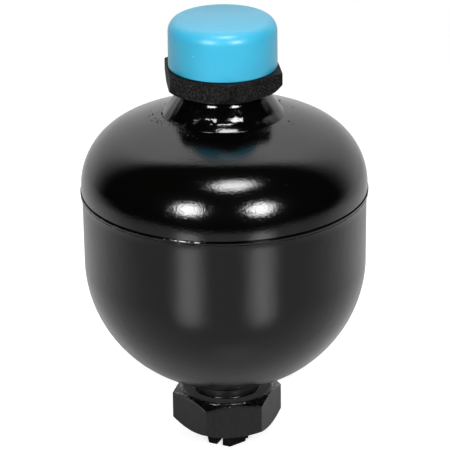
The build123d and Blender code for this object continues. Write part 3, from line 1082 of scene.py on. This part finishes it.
bm = bmesh.new()
outer_low, outer_high = bowl_arc(bm, cup_radius, cup_height, stem_hole, steps=64)
out_low = line_to(bm, outer_high, (cup_radius, edge_low), (edge_out, edge_low))
out_high = line_to(bm, out_low, (edge_out, edge_high))
in_high = line_to(bm, out_high, (edge_in, edge_high))
tip = line_to(bm, in_high, (edge_in, edge_low), (cup_inner[0], edge_low))
inner_low, inner_high = bowl_arc(bm, *cup_inner, hub_radius, steps=56)
bm.edges.new((tip, inner_high))
hub_corner = line_to(bm, inner_low, (hub_radius, hub_top))
line_to(bm, hub_corner, (0, hub_top))
tip = bm.verts.new((0, 0, head_high))
tip = line_to(bm, tip, (head_hole, head_high), (head_hole, head_low), (stem_hole, head_low))
bm.edges.new((tip, outer_low))
for corner in (out_low, out_high, in_high):
    round_off(bm, corner, edge_round, segments=5)
round_off(bm, hub_corner, hub_round, segments=6)
turn(bm, steps=192)
diaphragm = new_piece(bm, "moulded_diaphragm", rubber)
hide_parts("diaphragm")
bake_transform(diaphragm)

# Inside pieces whose solids have the right shape: the turned clamp ring and poppet of bare steel,
# the phosphated charging screw, and the two nitrile O-rings.
steel_grey = (0.48, 0.47, 0.46, 1)
steel_bright = (0.56, 0.56, 0.56, 1)
tool_mark_depth = 0.003
steel_roughness = (0.24, 0.34)

bare_steel, tree, shader = new_material("turned_steel", IOR=2.5, Metallic=1.0)
place = object_place(tree)
tool_marks = add(
    tree,
    "ShaderNodeTexWave",
    {"Vector": place, "Scale": 900.0, "Distortion": 0.6, "Detail": 2.0, "Detail Scale": 3.0},
    wave_type="BANDS",
    bands_direction="Z",
).outputs[1]
oil = grains(tree, place, scale=130.0, detail=4.0)
finish_shader(
    tree,
    shader,
    blend_colours(tree, spread(tree, oil, *mid_noise), steel_grey, steel_bright),
    spread(tree, tool_marks, 0.0, 1.0, *steel_roughness),
    number(tree, "MULTIPLY", tool_marks, tool_mark_depth),
)

inside_finishes = {
    "clamp_ring": bare_steel,
    "diaphragm_poppet": bare_steel,
    "charging_screw": phosphate,
    "charging_screw_seal": rubber,
    "valve_body_seal": rubber,
}
for node, finish in inside_finishes.items():
    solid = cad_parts[node]
    solid.data.materials.clear()
    solid.data.materials.append(finish)

# The studio: a white backdrop that the camera sees as plain white, in an otherwise dark room. It
# stands behind the table and fades out overhead.
room_dark = 0.0047
backdrop_turn = 0.07
backdrop_sides = (0.25, 0.75)
backdrop_steepness = (1.7, 3.1)
backdrop_level = 0.78
backdrop_brighter = 1.1
backdrop_curve = 3.0
least = 0.001  # keeps the divisions below from zero
white = (1, 1, 1, 1)

world = bpy.data.worlds.new("studio_room")
bpy.context.scene.world = world
world.use_nodes = True
tree = world.node_tree
tree.nodes.clear()
direction = add(tree, "ShaderNodeTexCoord").outputs["Generated"]
parts = add(tree, "ShaderNodeSeparateXYZ", {0: direction}).outputs
rise_squared = number(tree, "MULTIPLY", parts[2], parts[2])
level = number(tree, "SQRT", number(tree, "SUBTRACT", 1.0, rise_squared))
turned = number(tree, "MULTIPLY_ADD", parts[0], backdrop_turn, parts[1])
behind = number(tree, "DIVIDE", turned, number(tree, "MAXIMUM", level, least))
steepness = number(tree, "DIVIDE", parts[2], number(tree, "MAXIMUM", turned, least))
backdrop = number(
    tree,
    "MULTIPLY",
    spread(tree, behind, *backdrop_sides, smooth=True),
    spread(tree, steepness, *backdrop_steepness, 1.0, 0.0, smooth=True),
)
brighter = number(tree, "POWER", parts[2], backdrop_curve)
brighter = number(tree, "MULTIPLY_ADD", brighter, backdrop_brighter, backdrop_level)
room_light = number(tree, "MAXIMUM", number(tree, "MULTIPLY", backdrop, brighter), room_dark)
room = add(tree, "ShaderNodeBackground", {"Color": white, "Strength": room_light})
seen = add(tree, "ShaderNodeBackground", {"Color": white, "Strength": 1.0})
camera_ray = add(tree, "ShaderNodeLightPath").outputs["Is Camera Ray"]
shown = {0: camera_ray, 1: room.outputs[0], 2: seen.outputs[0]}
mixed = add(tree, "ShaderNodeMixShader", shown)
add(tree, "ShaderNodeOutputWorld", {"Surface": mixed.outputs[0]})

# The table: a pale polished sheet that mirrors the lamps into the vessel's band. It is matt under
# the vessel, darker in front of it as a painted shade, black towards its edge as painted darkness
# for the room beyond, and fades away from the camera's view into plain white.
table_height = cad_box[0][2]
table_radius = 1.0
painted_shade_depths = (-0.12, 0.1)
painted_shade_levels = (0.34, 0.84)
table_edge = (0.42, 0.7)
table_front = (-0.48, -0.3)
table_back = (0.0, 0.3)
polish_depths = (-0.36, -0.23)
polishes = (0.08, 0.42)
matt_reach = (0.05, 0.08)
table_roughness = (0.45, 0.15)
paper_grey = (0.8, 0.8, 0.8, 1)
paper_glow = 0.62
white_reach = (0.12, 0.45)

polished, tree, shader = new_material("polished_table", IOR=1.5)
place = object_place(tree)
depth = add(tree, "ShaderNodeSeparateXYZ", {0: place}).outputs[1]
reach = add(tree, "ShaderNodeVectorMath", {0: place}, operation="LENGTH").outputs["Value"]
# Past the table's edge and far in front, its colour fades to black: painted darkness for the dark
# room beyond the table.
table_share = spread(tree, reach, *table_edge, 1.0, 0.0, smooth=True)
front_share = spread(tree, depth, *table_front, smooth=True)
table_share = number(tree, "MINIMUM", table_share, front_share)
table_share = number(tree, "MAXIMUM", table_share, spread(tree, depth, *table_back))
# Darker in front of the vessel: a painted shade around its foot, darkest in front of it.
painted_shade = spread(tree, depth, *painted_shade_depths, *painted_shade_levels, smooth=True)
painted_shade = number(tree, "MULTIPLY", painted_shade, table_share)
colour = add(tree, "ShaderNodeCombineColor", {0: painted_shade, 1: painted_shade, 2: painted_shade}).outputs[0]
polish = spread(tree, depth, *polish_depths, *polishes, smooth=True)
roughness = spread(tree, reach, *matt_reach, *table_roughness)
for name, value in (
    ("Base Color", colour), ("Specular IOR Level", polish), ("Roughness", roughness)
):
    tree.links.new(value, shader.inputs[name])
paper = add(tree, "ShaderNodeBsdfDiffuse", {"Color": paper_grey})
glow = add(tree, "ShaderNodeEmission", {"Strength": paper_glow})
lit_paper = add(tree, "ShaderNodeAddShader", {0: paper.outputs[0], 1: glow.outputs[0]})
plain = add(tree, "ShaderNodeEmission", {"Strength": 1.0})
far = spread(tree, reach, *white_reach, smooth=True)
shown = {0: far, 1: lit_paper.outputs[0], 2: plain.outputs[0]}
seen_table = add(tree, "ShaderNodeMixShader", shown)
camera_ray = add(tree, "ShaderNodeLightPath").outputs["Is Camera Ray"]
shown = {0: camera_ray, 1: shader.outputs[0], 2: seen_table.outputs[0]}
mixed = add(tree, "ShaderNodeMixShader", shown)
table_output = next(n for n in tree.nodes if n.type == "OUTPUT_MATERIAL")
tree.links.new(mixed.outputs[0], table_output.inputs["Surface"])

bm = bmesh.new()
bmesh.ops.create_circle(bm, cap_ends=True, segments=96, radius=table_radius)
bmesh.ops.translate(bm, verts=bm.verts, vec=(0, 0, table_height))
table = new_piece(bm, "table", polished)

# The lamps and the camera: two soft round lamps beside the camera and a broad one overhead, and
# a long lens that looks down on the vessel from the front.
target = Vector((0, 0, 0.07))
side_lamp_distance = 1.5
side_lamp_azimuth = math.radians(29.0)
side_lamp_elevation = math.radians(22.0)
side_lamp_size = (0.5, 0.52)
side_lamp_radiance = 20.3
top_lamp_place = Vector((0.15, -0.64, 1.57))
top_lamp_size = (0.7, 0.48)
top_lamp_radiance = 14.8
camera_place = Vector((0.00004, -0.6953, 0.3653))
camera_pitch = math.radians(22.99)
camera_roll = math.radians(-0.72)
camera_lens = 184.6
camera_sensor = 36.0


def add_lamp(name, place, size, radiance):
    """Adds an oval lamp that faces the vessel and has this radiance all over."""
    lamp = bpy.data.lights.new(name, "AREA")
    lamp.shape = "ELLIPSE"
    lamp.size, lamp.size_y = size
    lamp.energy = radiance * math.pi * (math.pi / 4 * size[0] * size[1])
    holder = bpy.data.objects.new(name, lamp)
    holder.location = place
    holder.rotation_euler = (place - target).to_track_quat("Z", "Y").to_euler()
    bpy.context.scene.collection.objects.link(holder)


for side in (-1, 1):
    across = side * math.sin(side_lamp_azimuth) * math.cos(side_lamp_elevation)
    front = -math.cos(side_lamp_azimuth) * math.cos(side_lamp_elevation)
    toward = Vector((across, front, math.sin(side_lamp_elevation)))
    side_place = target + side_lamp_distance * toward
    add_lamp("side_lamp", side_place, side_lamp_size, side_lamp_radiance)
add_lamp("top_lamp", top_lamp_place, top_lamp_size, top_lamp_radiance)

camera = bpy.data.cameras.new("studio_camera")
camera.lens = camera_lens
camera.sensor_width = camera_sensor
holder = bpy.data.objects.new("studio_camera", camera)
tilt = Matrix.Rotation(math.pi / 2 - camera_pitch, 4, "X")
roll = Matrix.Rotation(camera_roll, 4, "Z")
holder.matrix_world = Matrix.Translation(camera_place) @ tilt @ roll
bpy.context.scene.collection.objects.link(holder)
bpy.context.scene.camera = holder
bpy.context.scene.view_settings.view_transform = "Standard"
